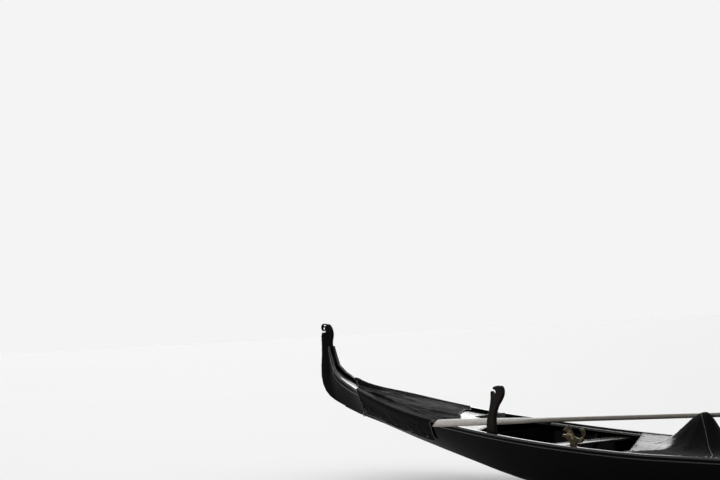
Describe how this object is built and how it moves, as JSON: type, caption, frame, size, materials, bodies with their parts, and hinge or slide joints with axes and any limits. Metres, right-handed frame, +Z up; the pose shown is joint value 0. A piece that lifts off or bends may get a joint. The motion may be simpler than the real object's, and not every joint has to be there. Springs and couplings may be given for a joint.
{
  "type": "gondola boat",
  "caption": "Long flat-bottomed rowing boat, wider to port, with high curved ends, a comb-shaped bow iron, carved crutch, oar, tied stern and seat covers.",
  "frame": {"origin": "on the keel line of the flat bottom, midway between the two ends of the planking, at the lowest face of the hull", "axes": "+X towards the bow, +Y to port, +Z up; the boat is upright and its waterline is 0.13 m above the origin"},
  "size_m": [10.93, 1.449, 1.774],
  "materials": {
    "paint": "gloss black lacquer",
    "varnish": "gloss black varnish over grain",
    "walnut": "oiled",
    "oar_wood": "worn, half bare",
    "tarpaulin": "creased, satin",
    "steel": "polished",
    "brass": "polished",
    "rope": "twisted"
  },
  "bodies": {
    "hull": {"bottom_planking": "paint", "side_planking_port": "paint", "side_planking_starboard": "paint", "top_strake_port": "paint", "top_strake_starboard": "paint", "sheer_rail_port": "paint", "sheer_rail_starboard": "paint", "lower_moulding_port": "paint", "lower_moulding_starboard": "paint", "stern_post": "paint", "bow_post": "paint", "inner_gunwale_port": "varnish", "inner_gunwale_starboard": "varnish", "stern_deck": "varnish", "bow_deck": "varnish", "aft_bulkhead": "paint", "fore_bulkhead": "paint", "rib_1": "paint", "rib_2": "paint", "rib_3": "paint", "rib_4": "paint", "rib_5": "paint", "rib_6": "paint", "floorboards_aft": "varnish", "floorboards_middle": "varnish", "floorboards_fore": "varnish", "aft_thwart": "varnish", "middle_thwart": "varnish", "fore_thwart": "varnish", "crutch_block": "varnish", "stern_scroll": "paint", "bow_iron": "steel", "sea_horse": "brass", "bow_deck_crest": "varnish", "seat_cover": "tarpaulin", "seat_box": "varnish", "seat_back": "varnish", "stern_cover": "tarpaulin", "foot_rest": "varnish", "cover_tie": "rope"},
    "crutch": {"crutch": "walnut"},
    "oar": {"oar": "oar_wood"}
  },
  "joints": [
    {"name": "crutch_lift", "type": "slide", "parent": "hull", "child": "crutch", "axis": [0, 0, 1], "range_m": [0, 0.3]},
    {"name": "oar_lift", "type": "slide", "parent": "hull", "child": "oar", "axis": [0, 0, 1], "range_m": [0, 0.5]}
  ]
}
